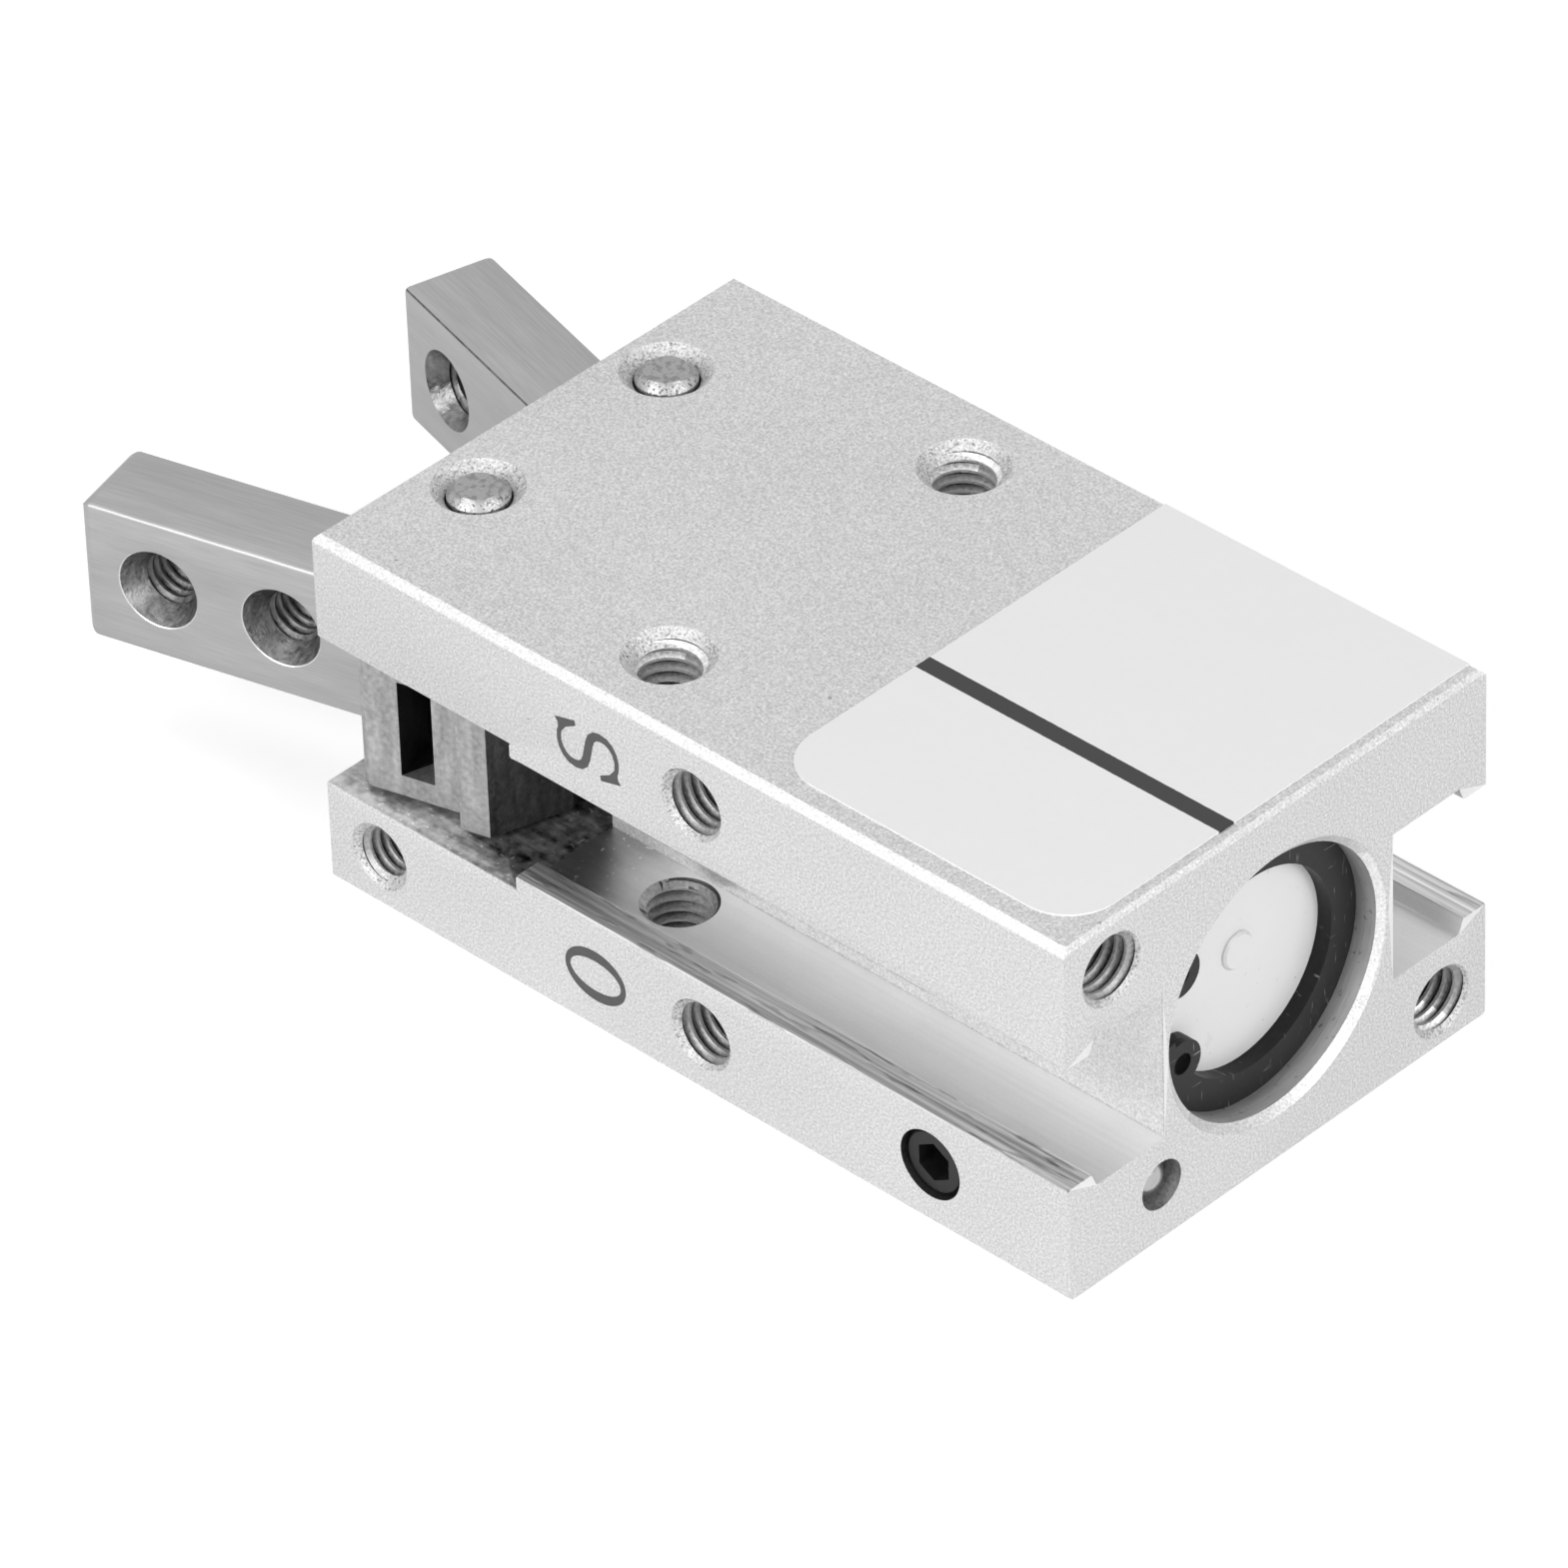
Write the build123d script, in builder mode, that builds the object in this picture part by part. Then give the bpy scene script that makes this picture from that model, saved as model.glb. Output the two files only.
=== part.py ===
# A small double-acting air gripper: two fingers swing on pins at the front of an aluminium
# body, and a piston drives both through one cross pin. It is modelled with the fingers open.
# Millimetres. The origin is on the cylinder axis at the rear end face; +X points to the
# fingers, +Y to the side with the air ports, +Z to the face with the label.
import os
from math import cos, radians, sin, tan

from build123d import *

os.makedirs("parts", exist_ok=True)

# Body block and the channels along its two sides
body_length = 38.6
body_width = 23.0
body_height = 16.4
corner_bevel = 0.3
end_bevel = 0.2
web_width = 12.6
channel_height = 6.8
lip_height = 0.6
lip_width = 1.25
lip_slope = 0.25
slot_depth = 10.2
slot_height = 6.9

# Cylinder, open at the rear and closed by a cap and a retaining ring
bore_diameter = 10.0
cap_bore_diameter = 11.4
mouth_diameter = 12.1
mouth_bevel = 0.3
ring_setback = 1.3
ring_thickness = 0.7
ring_groove_diameter = 12.0
ring_inner_diameter = 8.7
ring_gap_angle = 11.0
lug_angle = 28.0
lug_radius = 1.0
lug_circle_radius = 4.4
lug_hole_diameter = 0.9
cap_thickness = 3.0
cap_spigot_length = 1.3
cap_ring_section = 0.72
cap_mark_radius = 0.8
cap_mark_height = 0.18
cap_mark_place = (0.15, 0.75)
head_wall = 3.9

# Guide and seal of the rod, in the wall between the cylinder and the finger slot
rod_diameter = 4.0
bush_diameter = 5.8
bush_length = 1.6
seal_diameter = 7.4
seal_length = 1.6
washer_thickness = 0.5
front_bumper_length = 1.3
front_bumper_diameter = 8.2
rear_bumper_length = 1.8
rear_bumper_inner = 6.0
rear_bumper_outer = 8.8

# Piston, built up on the rod with a ring magnet between two discs
retainer_thickness = 1.0
magnet_length = 2.2
magnet_inner = 5.3
magnet_diameter = 9.6
piston_head_length = 3.6
piston_diameter = 9.85
piston_neck_diameter = 7.0
piston_seal_length = 1.6
piston_seal_inner = 7.4
piston_screw_diameter = 2.4
piston_screw_head = 4.4
piston_screw_head_length = 1.2
rod_socket_depth = 5.4

# Fingers: levers on fixed pins, 30 degrees apart when open and crossing 10 degrees when shut
pivot_setback = 2.5
pivot_spacing = 10.2
pivot_diameter = 2.5
pin_crown = 0.35
open_angle = 15.0
shut_angle = 5.0
finger_height = 6.3
arm_reach = 17.05
arm_inner = 2.25
arm_outer = 1.75
tip_rounding = 0.5
hub_front = 2.75
hub_outer = 5.3
hub_rounding = 0.6
heel_front = 2.2
heel_rear = 3.5
heel_outer = 6.15
heel_back = (-5.4, 3.1)
heel_inner = (-5.2, 1.0)
hub_inner_rear = 2.6
pocket_front = 0.84
pocket_length = 1.48
pocket_height = 4.4
pocket_depth = 2.4
jaw_hole_setback = 3.4
jaw_hole_pitch = 5.5
jaw_hole_mouth = 3.5
jaw_hole_cone = 66.0

# Drive: a cross pin in a fork, held in an open-ended slot in the tongue of each finger
drive_pin_diameter = 2.0
tongue_thickness = 2.0
tongue_split = 0.2
tongue_wall = 0.82
tongue_overhang = 0.85
pusher_width = 3.8
pusher_height = 6.4
cheek_thickness = 0.95
cheek_nose = 1.2
pusher_throat = 2.6
pusher_web = 2.5
rod_thread_diameter = 2.5

# Tapped holes, air ports and the drilled air passage
thread_core = 2.5
thread_diameter = 3.0
thread_mouth = 3.7
rear_hole_mouth = 3.1
port_mouth = 3.1
small_thread_core = 2.05
mouth_cone = 90.0
mount_hole_x = 23.2
mount_hole_spacing = 16.0
rear_hole_y = 9.0
rear_hole_z = 6.0
rear_hole_depth = 5.0
port_x = 18.8
port_z = 5.4
port_depth = 5.6
side_hole_setback = 2.7
side_hole_z = -5.7
side_hole_depth = 4.0
passage_y = 6.5
passage_z = -5.5
passage_diameter = 1.5
ball_diameter = 2.06
ball_seat_depth = 2.4
ball_setback = 0.25
feed_diameter = 1.2
feed_z = 4.8
plug_x = 7.0
plug_z = -5.3
plug_length = 3.0
plug_recess = 0.2
plug_bevel = 0.2
socket_flats = 1.5
socket_depth = 1.5

# Label on the top face
label_start = 0.6
label_length = 15.2
label_side = 1.15
label_corner = 2.2
label_thickness = 0.08

# Clearances between pieces
sliding = 0.02
running = 0.03
loose = 0.05
pin_clearance = 0.07
end_gap = 0.3
slot_root_gap = 0.15
cut_margin = 1.0

# Places worked out from the sizes above
top = body_height / 2
side = body_width / 2
web_side = web_width / 2
channel_half = channel_height / 2
slot_start = body_length - slot_depth
cylinder_end = slot_start - head_wall
bore_radius = bore_diameter / 2
cap_bore_radius = cap_bore_diameter / 2
groove_radius = ring_groove_diameter / 2
cap_face = ring_setback + ring_thickness
cap_seat = cap_face + cap_thickness
cap_end = cap_seat + cap_spigot_length
bush_start = slot_start - bush_length
washer_end = cylinder_end + washer_thickness
front_stop = cylinder_end - front_bumper_length
rear_stop = cap_end + rear_bumper_length
rod_radius = rod_diameter / 2

pivot_x = body_length - pivot_setback
pivot_y = pivot_spacing / 2
travel = open_angle + shut_angle
half_stroke = pivot_y * tan(radians(travel / 2))
drive_x = pivot_x + half_stroke
stroke = 2 * half_stroke

piston_rear = rear_stop + end_gap + stroke
piston_front = front_stop - end_gap
magnet_start = piston_rear + retainer_thickness
head_start = magnet_start + magnet_length
head_end = head_start + piston_head_length
seal_groove_start = (head_start + head_end - piston_seal_length) / 2 - sliding
rod_start = piston_front - rod_socket_depth
pusher_throat_x = drive_x - pusher_throat
pusher_rear = pusher_throat_x - pusher_web


def turn(corners, mode=Mode.ADD):
    # Revolves an outline of (x, radius) corners about the cylinder axis
    with BuildSketch(Plane.XY) as outline:
        with BuildLine():
            Polyline(*corners, close=True)
        make_face()
    revolve(outline.sketch, axis=Axis.X, mode=mode)


def turned_ring(start, length, inner, outer, mode=Mode.ADD):
    # A plain ring on the cylinder axis, or a disc where the inner radius is zero
    turn(((start, inner), (start, outer), (start + length, outer), (start + length, inner)), mode)


def tapped_hole(place, outward, depth, core=thread_core, mouth=thread_mouth, cone=mouth_cone):
    # The hole a tap is run into, with the bevel that starts the thread
    with Locations(Plane(origin=place, z_dir=outward)):
        CounterSinkHole(core / 2, mouth / 2, depth, cone)


def drilled_hole(place, outward, depth, diameter):
    with Locations(Plane(origin=place, z_dir=outward)):
        Hole(diameter / 2, depth)


def finish(piece, name):
    piece.part.label = name
    export_step(piece.part, f"parts/{name}.step")


# Body: an I-section bar, slotted across its front end for the fingers
with BuildPart() as body:
    lip_inside = side - lip_width
    lip_tip = channel_half - lip_height
    outside = side + cut_margin
    with BuildSketch(Plane.YZ) as section:
        Rectangle(body_width, body_height)
        for hand in (1, -1):
            with BuildLine():
                Polyline(
                    (hand * web_side, -channel_half),
                    (hand * (lip_inside - lip_slope), -channel_half),
                    (hand * lip_inside, -lip_tip),
                    (hand * outside, -lip_tip),
                    (hand * outside, lip_tip),
                    (hand * lip_inside, lip_tip),
                    (hand * (lip_inside - lip_slope), channel_half),
                    (hand * web_side, channel_half),
                    close=True,
                )
            make_face(mode=Mode.SUBTRACT)
    extrude(amount=body_length)
    for corner_pair in (0, -1):
        chamfer(body.edges().filter_by(Axis.X).group_by(Axis.Z)[corner_pair], corner_bevel)
    for end_pair in (0, -1):
        chamfer(body.edges().filter_by(Axis.Y).group_by(Axis.Z)[end_pair], end_bevel)

    with BuildSketch(Plane.YZ.offset(body_length)):
        Rectangle(2 * outside, slot_height)
    extrude(amount=-slot_depth, mode=Mode.SUBTRACT)

    # The cylinder and the steps that hold its cap, its seal and the guide of the rod
    turn(
        (
            (0, 0),
            (0, mouth_diameter / 2),
            (mouth_bevel, cap_bore_radius),
            (ring_setback, cap_bore_radius),
            (ring_setback, groove_radius),
            (cap_face, groove_radius),
            (cap_face, cap_bore_radius),
            (cap_seat, cap_bore_radius),
            (cap_seat, bore_radius),
            (cylinder_end, bore_radius),
            (cylinder_end, seal_diameter / 2),
            (bush_start, seal_diameter / 2),
            (bush_start, bush_diameter / 2),
            (slot_start + cut_margin, bush_diameter / 2),
            (slot_start + cut_margin, 0),
        ),
        Mode.SUBTRACT,
    )

    for hand in (1, -1):
        flange = top - channel_half
        mount_y = hand * mount_hole_spacing / 2
        for level in (1, -1):
            # Each flange is tapped right through, into the channel
            tapped_hole((mount_hole_x, mount_y, level * top), (0, 0, level), flange)
            tapped_hole(
                (pivot_x, hand * pivot_y, level * top),
                (0, 0, level),
                top - slot_height / 2,
                pivot_diameter + 2 * pin_clearance,
            )
        tapped_hole(
            (0, hand * rear_hole_y, hand * rear_hole_z),
            (-1, 0, 0),
            rear_hole_depth,
            mouth=rear_hole_mouth,
        )
        tapped_hole((port_x, side, hand * port_z), (0, 1, 0), port_depth, mouth=port_mouth)
    side_hole_place = (body_length - side_hole_setback, side, side_hole_z)
    drilled_hole(side_hole_place, (0, 1, 0), side_hole_depth, small_thread_core)

    # Air passages: one short feed from the upper port, and one from the lower port along
    # the body to the rear end of the cylinder
    port_end = side - port_depth
    drilled_hole((port_x, port_end, feed_z), (0, 1, 0), port_end - bore_radius / 2, feed_diameter)
    drilled_hole((0, passage_y, passage_z), (-1, 0, 0), port_x, passage_diameter)
    ball_seat_diameter = ball_diameter + 2 * running
    drilled_hole((0, passage_y, passage_z), (-1, 0, 0), ball_seat_depth, ball_seat_diameter)
    plug_seat = side - plug_recess - plug_length
    drilled_hole((plug_x, side, plug_z), (0, 1, 0), side - plug_seat, thread_diameter)
    drilled_hole((plug_x, plug_seat, -feed_z), (0, 1, 0), plug_seat - bore_radius / 2, feed_diameter)
finish(body, "body")

# Cap of the cylinder, with a spigot in the bore and a groove for its O-ring
with BuildPart() as end_cap:
    cap_ring_centre = (cap_face + cap_seat) / 2
    cap_radius = cap_bore_radius - loose
    turned_ring(cap_face, cap_thickness, 0, cap_radius)
    turned_ring(cap_seat, cap_spigot_length, 0, bore_radius - loose)
    turned_ring(
        cap_ring_centre - cap_ring_section / 2 - running,
        cap_ring_section + 2 * running,
        cap_bore_radius - cap_ring_section - 2 * running,
        cap_bore_radius + cut_margin,
        Mode.SUBTRACT,
    )
    with BuildSketch(Plane.YZ.offset(cap_face)):
        with Locations(cap_mark_place):
            Circle(cap_mark_radius)
    extrude(amount=-cap_mark_height)
    chamfer(end_cap.faces().sort_by(Axis.X)[0].edges(), cap_mark_height / 2)
finish(end_cap, "end_cap")

# O-ring of the cap, its round section drawn with six sides
with BuildPart() as cap_oring:
    with BuildSketch(Plane.XY) as oring_section:
        with Locations((cap_ring_centre, cap_bore_radius - running - cap_ring_section / 2)):
            RegularPolygon(cap_ring_section / 2, 6)
    revolve(axis=Axis.X)
finish(cap_oring, "cap_oring")

# Internal retaining ring, open towards the port side, with a holed lug at each end
with BuildPart() as retaining_ring:
    ring_outer = groove_radius - running
    with BuildSketch(Plane.YZ.offset(ring_setback)):
        Circle(ring_outer)
        Circle(ring_inner_diameter / 2, mode=Mode.SUBTRACT)
        for hand in (1, -1):
            lug = radians(hand * lug_angle)
            lug_place = (lug_circle_radius * cos(lug), lug_circle_radius * sin(lug))
            with Locations(lug_place):
                Circle(lug_radius)
                Circle(lug_hole_diameter / 2, mode=Mode.SUBTRACT)
        with BuildLine():
            gap_half = ring_outer * tan(radians(ring_gap_angle))
            Polyline((0, 0), (ring_outer, gap_half), (ring_outer, -gap_half), close=True)
        make_face(mode=Mode.SUBTRACT)
    extrude(amount=ring_thickness)
finish(retaining_ring, "retaining_ring")

with BuildPart() as rear_bumper:
    turned_ring(cap_end, rear_bumper_length, rear_bumper_inner / 2, rear_bumper_outer / 2)
finish(rear_bumper, "rear_bumper")

with BuildPart() as front_bumper:
    bumper_inner = rod_radius + 2 * loose
    turned_ring(front_stop, front_bumper_length, bumper_inner, front_bumper_diameter / 2)
finish(front_bumper, "front_bumper")

with BuildPart() as seal_washer:
    turned_ring(cylinder_end, washer_thickness, rod_radius + loose, seal_diameter / 2 - sliding)
finish(seal_washer, "seal_washer")

# Lip seal: a ring with a groove round its face towards the cylinder
with BuildPart() as rod_seal:
    seal_inner = rod_radius + sliding
    seal_outer = seal_diameter / 2 - sliding
    turn(
        (
            (washer_end, seal_inner),
            (washer_end + seal_length / 2, (seal_inner + seal_outer) / 2),
            (washer_end, seal_outer),
            (washer_end + seal_length, seal_outer),
            (washer_end + seal_length, seal_inner),
        )
    )
finish(rod_seal, "rod_seal")

with BuildPart() as rod_bush:
    turned_ring(bush_start, bush_length, rod_radius + running, bush_diameter / 2)
finish(rod_bush, "rod_bush")

# Two fixed pins that the fingers swing on, crowned at both ends, level with the body
for pin_name, hand in (("pivot_pin_left", 1), ("pivot_pin_right", -1)):
    with BuildPart() as pivot_pin:
        with Locations((pivot_x, hand * pivot_y, 0)):
            Cylinder(pivot_diameter / 2, body_height)
        chamfer(pivot_pin.edges().filter_by(GeomType.CIRCLE), pin_crown)
    finish(pivot_pin, pin_name)

# Steel ball that closes the air passage at the rear face
with BuildPart() as passage_ball:
    with Locations((ball_setback + ball_diameter / 2, passage_y, passage_z)):
        Sphere(ball_diameter / 2)
finish(passage_ball, "passage_ball")

# Set screw that closes the cross drilling, with a hexagon socket
with BuildPart() as passage_plug_screw:
    plug_face = Plane(origin=(plug_x, side - plug_recess, plug_z), z_dir=(0, 1, 0))
    with BuildSketch(plug_face):
        Circle(thread_diameter / 2 - sliding)
    extrude(amount=-plug_length)
    chamfer(passage_plug_screw.edges().filter_by(GeomType.CIRCLE), plug_bevel)
    with BuildSketch(plug_face):
        RegularPolygon(socket_flats / 2, 6, major_radius=False)
    extrude(amount=-socket_depth, mode=Mode.SUBTRACT)
finish(passage_plug_screw, "passage_plug_screw")

# Label stuck across the rear half of the top face, round-cornered on the port side
with BuildPart() as label:
    label_width = body_width - corner_bevel - label_side
    label_middle = (corner_bevel - label_side) / 2
    with BuildSketch(Plane.XY.offset(top)):
        with Locations((label_start + label_length / 2, label_middle)):
            Rectangle(label_length, label_width)
    extrude(amount=label_thickness)
    fillet(label.edges().filter_by(Axis.Z).group_by(Axis.Y)[-1], label_corner)
finish(label, "label")

# Piston with its magnet, seal and screw, on the end of the rod
with BuildPart() as piston:
    screw_clearance = piston_screw_diameter / 2 + loose
    turned_ring(magnet_start, magnet_length, screw_clearance, magnet_inner / 2 - loose)
    turned_ring(head_start, piston_head_length, screw_clearance, piston_diameter / 2)
    turned_ring(head_end, piston_front - head_end, screw_clearance, piston_neck_diameter / 2)
    turned_ring(rod_start, rod_socket_depth, 0, rod_radius + sliding, Mode.SUBTRACT)
    turned_ring(
        seal_groove_start,
        piston_seal_length + 2 * sliding,
        piston_seal_inner / 2 - sliding,
        bore_radius,
        Mode.SUBTRACT,
    )
finish(piston, "piston")

with BuildPart() as piston_seal:
    piston_seal_start = seal_groove_start + sliding
    turned_ring(piston_seal_start, piston_seal_length, piston_seal_inner / 2, bore_radius - sliding)
    outer_rims = piston_seal.edges().filter_by(GeomType.CIRCLE).sort_by(SortBy.RADIUS)[-2:]
    chamfer(outer_rims, piston_seal_length / 4)
finish(piston_seal, "piston_seal")

with BuildPart() as magnet:
    turned_ring(magnet_start, magnet_length, magnet_inner / 2, magnet_diameter / 2)
finish(magnet, "magnet")

with BuildPart() as magnet_retainer:
    turned_ring(piston_rear, retainer_thickness, screw_clearance, piston_diameter / 2)
finish(magnet_retainer, "magnet_retainer")

with BuildPart() as piston_screw:
    screw_length = rod_start + rod_socket_depth / 2 - piston_rear
    head_front = piston_rear - piston_screw_head_length
    turned_ring(head_front, piston_screw_head_length, 0, piston_screw_head / 2)
    turned_ring(piston_rear, screw_length, 0, piston_screw_diameter / 2)
    with BuildSketch(Plane.YZ.offset(head_front)):
        RegularPolygon(socket_flats / 2, 6, major_radius=False)
    extrude(amount=piston_screw_head_length / 2, mode=Mode.SUBTRACT)
finish(piston_screw, "piston_screw")

with BuildPart() as piston_rod:
    turned_ring(rod_start, pusher_rear - rod_start, 0, rod_radius)
    turned_ring(pusher_rear, pusher_web, 0, rod_thread_diameter / 2)
    rod_bore_length = rod_socket_depth / 2 + end_gap
    turned_ring(rod_start, rod_bore_length, 0, screw_clearance, Mode.SUBTRACT)
finish(piston_rod, "piston_rod")

# Fork that carries the drive pin: two cheeks on a block screwed to the rod
with BuildPart() as centre_pusher:
    with BuildSketch(Plane.XY):
        with BuildLine():
            Polyline(
                (drive_x, -pusher_width / 2),
                (pusher_rear, -pusher_width / 2),
                (pusher_rear, pusher_width / 2),
                (drive_x, pusher_width / 2),
            )
            ThreePointArc(
                (drive_x, pusher_width / 2),
                (drive_x + cheek_nose, 0),
                (drive_x, -pusher_width / 2),
            )
        make_face()
    extrude(amount=pusher_height / 2, both=True)
    throat_height = pusher_height - 2 * cheek_thickness
    with BuildSketch(Plane.XZ):
        with Locations((pusher_throat_x, 0)):
            Rectangle(
                body_length - pusher_throat_x, throat_height, align=(Align.MIN, Align.CENTER)
            )
    extrude(amount=pusher_width, both=True, mode=Mode.SUBTRACT)
    turned_ring(pusher_rear, pusher_web, 0, rod_thread_diameter / 2 + sliding, Mode.SUBTRACT)
    with Locations((drive_x, 0, 0)):
        Cylinder(drive_pin_diameter / 2 + sliding, pusher_height, mode=Mode.SUBTRACT)
finish(centre_pusher, "centre_pusher")

with BuildPart() as drive_pin:
    with Locations((drive_x, 0, 0)):
        Cylinder(drive_pin_diameter / 2, pusher_height)
finish(drive_pin, "drive_pin")

# Finger: arm, hub and heel in one outline, with a half-height tongue that reaches inwards
# over the middle and straddles the drive pin. Its own plane stands on the pivot, with local
# x along the arm and local y outwards.
lean = radians(open_angle)
finger_plane = Plane(
    origin=(pivot_x, pivot_y, 0), x_dir=(cos(lean), sin(lean), 0), z_dir=(0, 0, 1)
)
reach_angle = radians(travel / 2 - 90)
tongue_plane = Plane(
    origin=(pivot_x, pivot_y, tongue_split / 2),
    x_dir=(cos(reach_angle), sin(reach_angle), 0),
    z_dir=(0, 0, 1),
)


def facing(along, across):
    # A plane on the finger whose normal is local y, with its origin at (along, across)
    place = finger_plane.from_local_coords((along, across, 0))
    return Plane(origin=place, x_dir=finger_plane.x_dir, z_dir=finger_plane.y_dir)


with BuildPart() as finger_left:
    with BuildSketch(finger_plane):
        with BuildLine():
            Polyline(
                (-hub_inner_rear, -arm_inner),
                (arm_reach, -arm_inner),
                (arm_reach, arm_outer),
                (hub_front, arm_outer),
                (hub_front, hub_outer),
                (-heel_front, hub_outer),
                (-heel_front, heel_outer),
                (-heel_rear, heel_outer),
                heel_back,
                heel_inner,
                close=True,
            )
        make_face()
    extrude(amount=finger_height / 2, both=True)
    along_arm = Axis((pivot_x, pivot_y, 0), finger_plane.x_dir)
    hub_face, tip_face = finger_left.faces().filter_by(along_arm).sort_by(along_arm)[-2:]
    fillet(tip_face.edges(), tip_rounding)
    fillet(hub_face.edges().filter_by(Axis.Z), hub_rounding)

    tongue_half = drive_pin_diameter / 2 + running + tongue_wall
    tongue_reach = pivot_y / cos(radians(travel / 2)) + tongue_overhang
    with BuildSketch(tongue_plane):
        with Locations((tongue_reach / 2, 0)):
            Rectangle(tongue_reach, 2 * tongue_half)
    extrude(amount=tongue_thickness)
    fork_root = pivot_y - slot_root_gap
    fork_half = drive_pin_diameter / 2 + running
    with BuildSketch(tongue_plane.offset(-tongue_split)):
        with Locations((fork_root, 0)):
            Circle(fork_half)
            Rectangle(tongue_reach, 2 * fork_half, align=(Align.MIN, Align.CENTER))
    extrude(amount=tongue_thickness + 2 * tongue_split, mode=Mode.SUBTRACT)

    with Locations((pivot_x, pivot_y, 0)):
        Cylinder(pivot_diameter / 2 + running, finger_height, mode=Mode.SUBTRACT)
    with BuildSketch(facing(pocket_front - pocket_length / 2, hub_outer)):
        Rectangle(pocket_length, pocket_height)
    extrude(amount=-pocket_depth, mode=Mode.SUBTRACT)
    for step in (0, 1):
        jaw_hole = facing(arm_reach - jaw_hole_setback - step * jaw_hole_pitch, arm_outer)
        tapped_hole(
            jaw_hole.origin,
            jaw_hole.z_dir,
            arm_inner + arm_outer,
            small_thread_core,
            jaw_hole_mouth,
            jaw_hole_cone,
        )
finish(finger_left, "finger_left")

# The other finger is the same piece turned over about the cylinder axis
with BuildPart() as finger_right:
    add(finger_left.part.rotate(Axis.X, 180))
finish(finger_right, "finger_right")
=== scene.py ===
import math

import bmesh
import bpy
from mathutils import Matrix, Vector


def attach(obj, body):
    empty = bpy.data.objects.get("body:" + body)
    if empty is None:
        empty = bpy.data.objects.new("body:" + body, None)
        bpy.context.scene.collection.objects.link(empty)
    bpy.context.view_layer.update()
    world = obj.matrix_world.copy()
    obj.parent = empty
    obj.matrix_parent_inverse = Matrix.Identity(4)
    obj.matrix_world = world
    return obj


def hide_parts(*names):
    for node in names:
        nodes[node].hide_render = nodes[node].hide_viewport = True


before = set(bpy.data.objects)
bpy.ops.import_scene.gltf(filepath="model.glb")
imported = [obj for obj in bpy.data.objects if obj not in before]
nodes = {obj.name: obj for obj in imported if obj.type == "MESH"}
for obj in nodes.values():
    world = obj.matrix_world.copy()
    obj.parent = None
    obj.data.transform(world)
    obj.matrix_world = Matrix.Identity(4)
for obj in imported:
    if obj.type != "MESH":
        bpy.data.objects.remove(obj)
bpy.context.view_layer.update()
mm = 0.001
pivotPlace = (36.1, 5.1)  # of a finger, along X and out to its side, mm
print("frame loaded:", len(nodes), "nodes")


# camera, at the angle of the photograph
cameraSet = {  # place and clip in metres, lens and sensor in millimetres
    "place": (-0.2502, 0.2749, 0.2905),
    "right": (-0.7213, -0.6920, -0.0292),
    "down": (-0.4006, 0.4511, -0.7975),
    "lens": 293.75,
    "sensor": 36.0,
    "clip": (0.01, 10),
}
right = Vector(cameraSet["right"]).normalized()
up = -Vector(cameraSet["down"])
up = (up - right * up.dot(right)).normalized()
camera = bpy.data.objects.new("camera", bpy.data.cameras.new("camera"))
bpy.context.scene.collection.objects.link(camera)
camera.data.lens = cameraSet["lens"]
camera.data.sensor_width = cameraSet["sensor"]
camera.data.clip_start, camera.data.clip_end = cameraSet["clip"]
facing = Matrix((right, up, right.cross(up))).transposed().to_4x4()
camera.matrix_world = Matrix.Translation(cameraSet["place"]) @ facing
bpy.context.scene.camera = camera
print("camera set")


class Wire:  # a shader socket that can stand in a sum, such as 1 - mask
    def __init__(self, finish, socket):
        self.finish, self.socket = finish, socket

    def math(self, operation, first, second):
        return self.finish.node("Math", {"operation": operation}, {0: first, 1: second})

    def __add__(self, other):
        return self.math("ADD", self, other)

    def __radd__(self, other):
        return self.math("ADD", other, self)

    def __sub__(self, other):
        return self.math("SUBTRACT", self, other)

    def __rsub__(self, other):
        return self.math("SUBTRACT", other, self)

    def __mul__(self, other):
        return self.math("MULTIPLY", self, other)

    def __rmul__(self, other):
        return self.math("MULTIPLY", other, self)

    def __abs__(self):
        return self.math("ABSOLUTE", self, 0.0)

    def swing(self, width):  # a noise lies about 0.5; here it lies about 0, this wide
        return (self - 0.5) * width


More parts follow.
